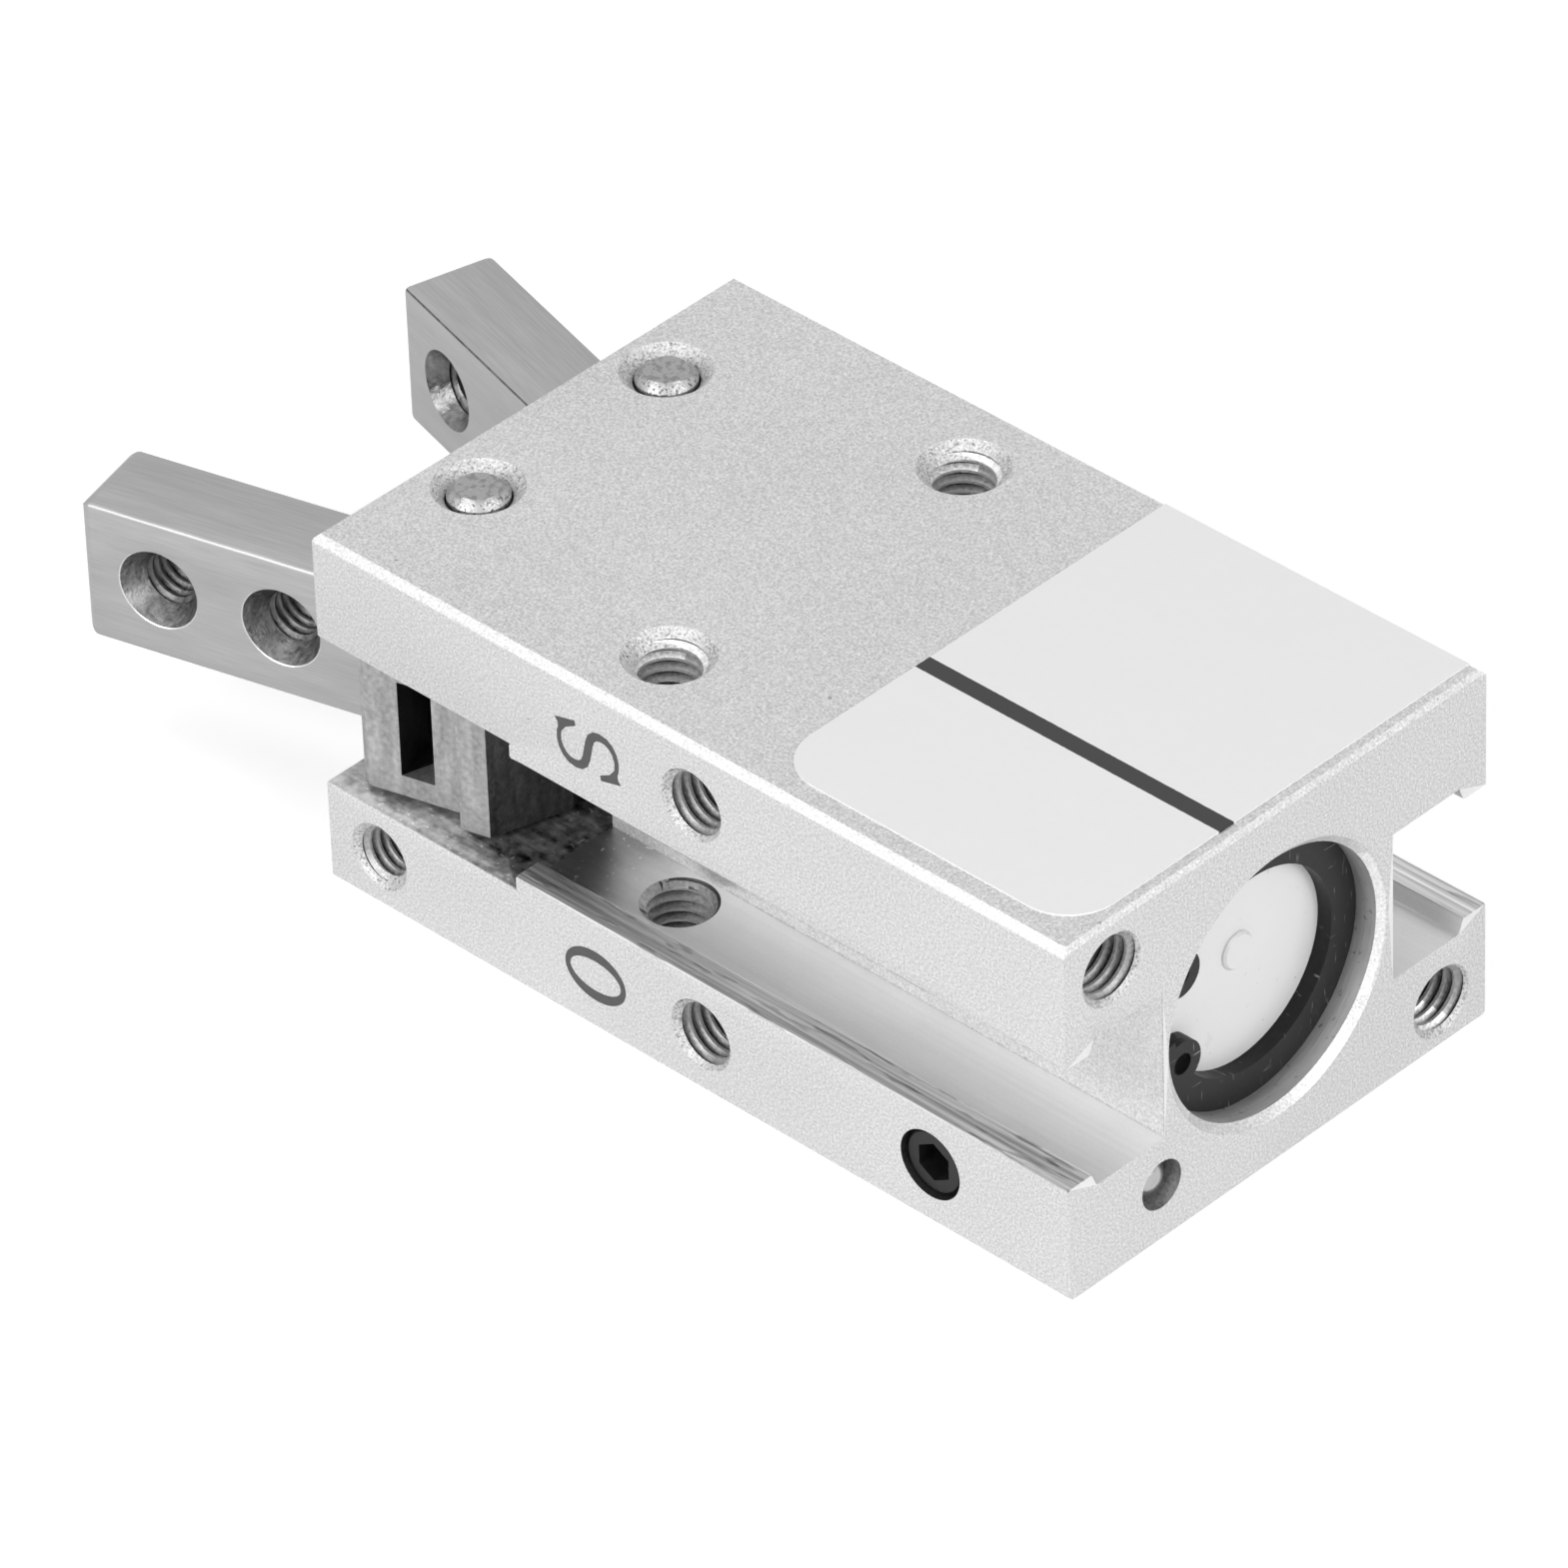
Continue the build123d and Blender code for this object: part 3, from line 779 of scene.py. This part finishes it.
body = ownCopy("body")
softened(body, lipEdge, lipSet["round"], lipSet["segments"])
holes = bodyHoles()
tools = []
for mouth, outward, depth, thread in holes:
    if thread in threadSet:
        phase = holeSet["mountPhase"] if outward[2] else 0
        tools.append(threadCutter(mouth, outward, depth, **threadSet[thread], phase=phase))
for hand in (1, -1):
    for level in (1, -1):
        x, y = holeSet["mount"]
        core, mouth = threadSet["large"]["core"], holeSet["innerMouth"]
        inner = (x, hand * y, level * holeSet["channel"])
        tools.append(coneCutter(inner, (0, 0, -level), mouth, core, mouth - core))
x, z = holeSet["sideHole"]
core, mouth = threadSet["small"]["core"], holeSet["sideMouth"]
tools.append(coneCutter((x, holeSet["side"], z), (0, 1, 0), mouth, core, mouth - core))
cut(body, tools)
bodyFinishes = {
    "blasted": blastedAluminium(),
    "drawn": drawnAluminium(),
    "milled": milledAluminium(),
    "crest": turnedAluminium(),
    "groove": threadMetal("threadGroove", aluminiumSet["grooveBase"]),
    "bored": boredAluminium(),
    "flank": threadMetal("threadFlank", aluminiumSet["flankBase"]),
    "bevel": bevelAluminium(),
    "worn": wornAluminium(),
    "shadedFlank": threadMetal("shadedFlank", aluminiumSet["shadedFlankBase"]),
}
painted(body, bodyFinishes, bodyPatch, holes)
smoothed(body)
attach(body, "housing")
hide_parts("body")
print("body cut and threaded:", len(body.data.polygons), "faces")


fingerSet = {  # mm from the pivot, and cosines for the slopes
    "outer": 1.75, "inner": -2.25, "holes": (13.65, 8.15), "pastHole": 0.3,
    "outerMouth": 1.75, "innerMouths": (1.72, 1.58), "innerBevel": 1.0, "rim": 0.03,
    "rimSkin": 0.002, "coneSlopes": (0.3, 0.75),
    "armStart": 2.8, "armHalf": 2.4, "longEdge": 5, "edge": 0.16, "edgeSegments": 3,
    "edgeSlope": 0.3, "heelSlope": 0.7,
    "pocket": (0.84, 0.80, 2.25),  # middle and half length along the arm, half height
    "pocketReach": (2.8, 5.28),  # where it starts and ends across the arm
}


def finger(node, hand, rides):
    own, size, lean = fingerSet, threadSet["small"], steelSet["lean"]
    pivot = Vector((pivotPlace[0], hand * pivotPlace[1], 0))
    alongWay = Vector((math.cos(lean), hand * math.sin(lean), 0))
    acrossWay = Vector((-math.sin(lean), hand * math.cos(lean), 0))

    def along(vert):
        return (vert.co / mm - pivot).dot(alongWay)

    def armEdge(edge):
        first, second = (along(vert) for vert in edge.verts)
        lengthways = abs(first - second) > own["longEdge"] or min(first, second) > own["armStart"]
        return lengthways and all(abs(vert.co.z / mm) > own["armHalf"] for vert in edge.verts)

    piece = ownCopy(node)
    softened(piece, armEdge, own["edge"], own["edgeSegments"])
    tools, holes, outers, inners = [], [], [], []
    for place, innerMouth in zip(own["holes"], own["innerMouths"]):
        outer = pivot + alongWay * place + acrossWay * own["outer"]
        inner = pivot + alongWay * place + acrossWay * own["inner"]
        thick = own["outer"] - own["inner"]
        tools.append(threadCutter(outer, acrossWay, thick + own["pastHole"], **size))
        cone = (innerMouth, size["core"], own["innerBevel"])
        tools.append(coneCutter(inner, -acrossWay, *cone))
        wide, rim = own["outerMouth"], own["rim"]
        tools.append(coneCutter(outer, acrossWay, wide + rim, wide - rim / 2, rim))
        holes.append((outer, acrossWay, thick - own["innerBevel"], "small"))
        outers.append(outer)
        inners.append(inner)
    cut(piece, tools)
    fingerFinishes = {
        "steel": fingerSteel(node + "Steel", hand),
        # painted shadow in the thread roots; the thread finish also paints the rounded inner edges
        # dark as shade
        "groove": darkSteel(node + "Groove", 0.05),
        "cut": darkSteel(node + "Cut", 0.20, 0.34),
        # painted shadow on the heel's rear faces
        "heel": darkSteel(node + "Heel", 0.08, 0.5),
        "rim": plainSteel(node + "Rim", 0.60, 0.4),
        # painted shadow in the pocket
        "pocket": darkSteel(node + "Pocket", 0.02, 0.6),
        "thread": darkSteel(node + "Thread", 0.12, 0.4),
    }
    middle, half, tall = own["pocket"]
    near, far = own["pocketReach"]
    least, most = own["coneSlopes"]

    def fingerPatch(place, normal, holes):  # which finish a face of the finger has
        for outer in outers:
            level = (place - outer).dot(acrossWay)
            radius = (place - outer - acrossWay * level).length
            offRim = abs(radius - own["outerMouth"])
            if -own["rim"] < level < -own["rimSkin"] and offRim < own["rim"]:
                return "rim"
        for inner in inners:
            level = (place - inner).dot(acrossWay)
            radius = (place - inner - acrossWay * level).length
            sloped = least < abs(normal.dot(acrossWay)) < most
            if level < own["innerBevel"] and radius < own["innerMouths"][0] and sloped:
                return "cut"
        part = threadPatch(place, normal, holes)
        if part:
            return {"groove": "groove", "bevel": "cut"}.get(part, "thread")
        apart = place - pivot
        run, reach = apart.dot(alongWay), apart.dot(acrossWay)
        if abs(run - middle) < half and abs(apart.z) < tall and near < reach < far:
            return "pocket"
        inwards = normal.dot(acrossWay) < -own["edgeSlope"] and abs(normal.z) > own["edgeSlope"]
        if run > own["armStart"] and inwards:
            return "thread"  # the rounded inner edges are painted as dark as the threads, as shade
        # faces turned back along the arm are the heel's rear, painted dark as shadow
        return "heel" if normal.dot(alongWay) < -own["heelSlope"] else "steel"

    painted(piece, fingerFinishes, fingerPatch, holes)
    smoothed(piece)
    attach(piece, rides)
    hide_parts(node)
    return piece


for node, hand, rides in (("finger_left", 1, "left_finger"), ("finger_right", -1, "right_finger")):
    made = finger(node, hand, rides)
    print(node, "cut and threaded:", len(made.data.polygons), "faces")


letterSet = {
    "side": 11.5,
    "thick": 0.012,
    "layer": 0.002,  # between the strokes of one letter, which overlap
    "marks": {  # place along X and Z, width, height
        "shutMark": (24.16, 5.24, 2.30, 3.36),
        "openMark": (24.32, -5.46, 2.36, 3.19),
    },
}
# half of the S, from its middle to its lower left end; the other half is this one turned round
halfStroke = (
    (0.50, 0.50, 0.085), (0.66, 0.475, 0.085), (0.79, 0.44, 0.084), (0.87, 0.38, 0.082),
    (0.90, 0.30, 0.078), (0.885, 0.21, 0.072), (0.82, 0.135, 0.064), (0.71, 0.08, 0.056),
    (0.57, 0.052, 0.050), (0.43, 0.055, 0.048), (0.31, 0.08, 0.046), (0.24, 0.11, 0.040),
)
halfSerif = (
    (0.15, 0.0), (0.23, 0.04), (0.36, 0.05), (0.38, 0.10), (0.25, 0.17), (0.13, 0.32), (0.03, 0.31),
)


def turnedRound(points):
    return [(1 - x, 1 - y, *rest) for x, y, *rest in points]


def penOutline(points):  # both sides of a pen stroke, from its middle line and half widths
    sides = ([], [])
    shape = letterSet["marks"]["shutMark"][3] / letterSet["marks"]["shutMark"][2]
    for i, (x, y, half) in enumerate(points):
        before, after = points[max(i - 1, 0)], points[min(i + 1, len(points) - 1)]
        run = Vector((after[0] - before[0], (after[1] - before[1]) * shape)).normalized()
        for side, way in zip(sides, (1, -1)):
            side.append((x - way * run.y * half, y + way * run.x * half / shape))
    return sides[0] + sides[1][::-1]


def oval(half, tall, steps=48):
    turns = [math.tau * i / steps for i in range(steps)]
    return [(0.5 + half * math.cos(t), 0.5 + tall * math.sin(t)) for t in turns]


def filled(name, *loops):  # a flat outline, one unit wide and one tall, made a mesh
    curve = bpy.data.curves.new(name, "CURVE")
    curve.dimensions, curve.fill_mode = "2D", "BOTH"
    for loop in loops:
        line = curve.splines.new("POLY")
        line.points.add(len(loop) - 1)
        line.use_cyclic_u = True
        for spot, (x, y) in zip(line.points, loop):
            spot.co = (x, y, 0, 1)
    drawn = bpy.data.objects.new(name, curve)
    bpy.context.scene.collection.objects.link(drawn)
    bpy.context.view_layer.update()
    flat = bpy.data.meshes.new_from_object(
        drawn.evaluated_get(bpy.context.evaluated_depsgraph_get())
    )
    bpy.data.objects.remove(drawn)
    return flat


wholeStroke = turnedRound(halfStroke[:0:-1]) + list(halfStroke)
letterLoops = {
    "shutMark": ([penOutline(wholeStroke)], [halfSerif], [turnedRound(halfSerif)]),
    "openMark": ([oval(0.5, 0.5), oval(0.30, 0.4165)],),
}
ink = inkBlack()
for name, parts in letterLoops.items():
    own = letterSet
    x, z, wide, tall = own["marks"][name]
    mesh = bmesh.new()
    for i, loops in enumerate(parts):
        stroke = filled(name + "Line", *loops)
        stroke.transform(Matrix.Translation((0, 0, i * own["layer"])))
        mesh.from_mesh(stroke)
    bmesh.ops.translate(mesh, verts=mesh.verts, vec=(-0.5, -0.5, 0))
    bmesh.ops.scale(mesh, verts=mesh.verts, vec=(wide, tall, 1))
    # a letter's right is +Z on the side face, its top is +X, and it faces +Y
    turn = Matrix(((0, 1, 0, x), (0, 0, 1, own["side"]), (1, 0, 0, z), (0, 0, 0, 1)))
    bmesh.ops.transform(mesh, verts=mesh.verts, matrix=Matrix.Scale(mm, 4) @ turn)
    for face in mesh.faces:
        if face.normal.y < 0:
            face.normal_flip()
    mark = bpy.data.objects.new(name, bpy.data.meshes.new(name))
    mesh.to_mesh(mark.data)
    mesh.free()
    bpy.context.scene.collection.objects.link(mark)
    mark.data.materials.append(ink)
    solid = mark.modifiers.new("thick", "SOLIDIFY")
    solid.thickness, solid.offset = own["thick"] * mm, 0.0
    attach(mark, "housing")
print("port marks made")


def dress(finish, *names):
    for name in names:
        nodes[name].data.materials.clear()
        nodes[name].data.materials.append(finish)


dress(whitePlastic(), "end_cap")
dress(blackSteel(), "retaining_ring", "passage_plug_screw", "piston_screw")
dress(sealRubber(), "cap_oring", "rear_bumper", "front_bumper", "rod_seal", "piston_seal")
dress(bushBronze(), "rod_bush")
dress(magnetMetal(), "magnet")
dress(turnedPiston(), "piston", "magnet_retainer")
dress(plainSteel("rodSteel", 0.45, 0.25), "piston_rod", "seal_washer")
dress(plainSteel("pusherSteel", 0.38, 0.4), "centre_pusher")
dress(wornPin(), "pivot_pin_left", "pivot_pin_right")
dress(plainSteel("pinSteel", 0.30, 0.38), "drive_pin")
dress(plainSteel("ballSteel", 0.40, 0.22, 0.1), "passage_ball")
dress(labelFilm(), "label")
print("CAD nodes dressed")


stageSet = {  # the floor in mm, the lamps in metres and watts
    "floorLevel": -8.2,
    "floorSize": 3000,
    "floorShade": 0.80,
    "floorGlow": 0.45,
    "worldGlow": 0.29,
    "aim": (0.02, 0, 0),
    "lamps": {
        "portSide": {"place": (0.05, 0.60, 0.30), "size": 0.5, "power": 3.5},
        "rearSide": {"place": (-0.60, 0.00, 0.30), "size": 0.5, "power": 2.9},
        "above": {"place": (0.10, 0.00, 0.80), "size": 0.7, "power": 1.25},
    },
}
floorMesh = bmesh.new()
bmesh.ops.create_grid(floorMesh, x_segments=1, y_segments=1, size=stageSet["floorSize"] * mm)
bmesh.ops.translate(floorMesh, verts=floorMesh.verts, vec=(0, 0, stageSet["floorLevel"] * mm))
floor = bpy.data.objects.new("floor", bpy.data.meshes.new("floor"))
floorMesh.to_mesh(floor.data)
floorMesh.free()
bpy.context.scene.collection.objects.link(floor)


def whiteFor(sh):  # 1 for rays that look at the ground itself or its reflection
    return sh.node("Math", {"operation": "MAXIMUM"}, {
        0: sh.node("LightPath", {}, {}, "Is Camera Ray"),
        1: sh.node("Math", {"operation": "MAXIMUM"}, {
            0: sh.node("LightPath", {}, {}, "Is Glossy Ray"),
            1: sh.node("LightPath", {}, {}, "Is Transmission Ray"),
        }),
    })


sh = Finish("paleFloor")
diffuse = sh.node("BsdfDiffuse", {}, {"Color": grey(stageSet["floorShade"])})
glow = sh.node("Emission", {}, {
    "Color": grey(1.0), "Strength": whiteFor(sh) * stageSet["floorGlow"],
})
both = sh.node("AddShader", {}, {0: diffuse, 1: glow})
sh.node("OutputMaterial", {}, {"Surface": both})
floor.data.materials.append(sh.material)

world = bpy.data.worlds.new("studio")
bpy.context.scene.world = world
world.use_nodes = True
tree = world.node_tree
backdrop = tree.nodes["Background"]
path = tree.nodes.new("ShaderNodeLightPath")
seen = path.outputs["Is Camera Ray"]
for kind in ("Is Glossy Ray", "Is Transmission Ray"):
    either = tree.nodes.new("ShaderNodeMath")
    either.operation = "MAXIMUM"
    tree.links.new(seen, either.inputs[0])
    tree.links.new(path.outputs[kind], either.inputs[1])
    seen = either.outputs[0]
level = tree.nodes.new("ShaderNodeMapRange")
level.inputs["To Min"].default_value = stageSet["worldGlow"]
tree.links.new(seen, level.inputs["Value"])
tree.links.new(level.outputs[0], backdrop.inputs["Strength"])
backdrop.inputs["Color"].default_value = grey(1.0)

for name, own in stageSet["lamps"].items():
    lamp = bpy.data.objects.new(name, bpy.data.lights.new(name, "AREA"))
    lamp.data.size, lamp.data.energy = own["size"], own["power"]
    lamp.location = own["place"]
    aim = Vector(stageSet["aim"]) - lamp.location
    lamp.rotation_euler = aim.to_track_quat("-Z", "Y").to_euler()
    bpy.context.scene.collection.objects.link(lamp)
bpy.context.scene.view_settings.view_transform = "Standard"
print("stage lit")
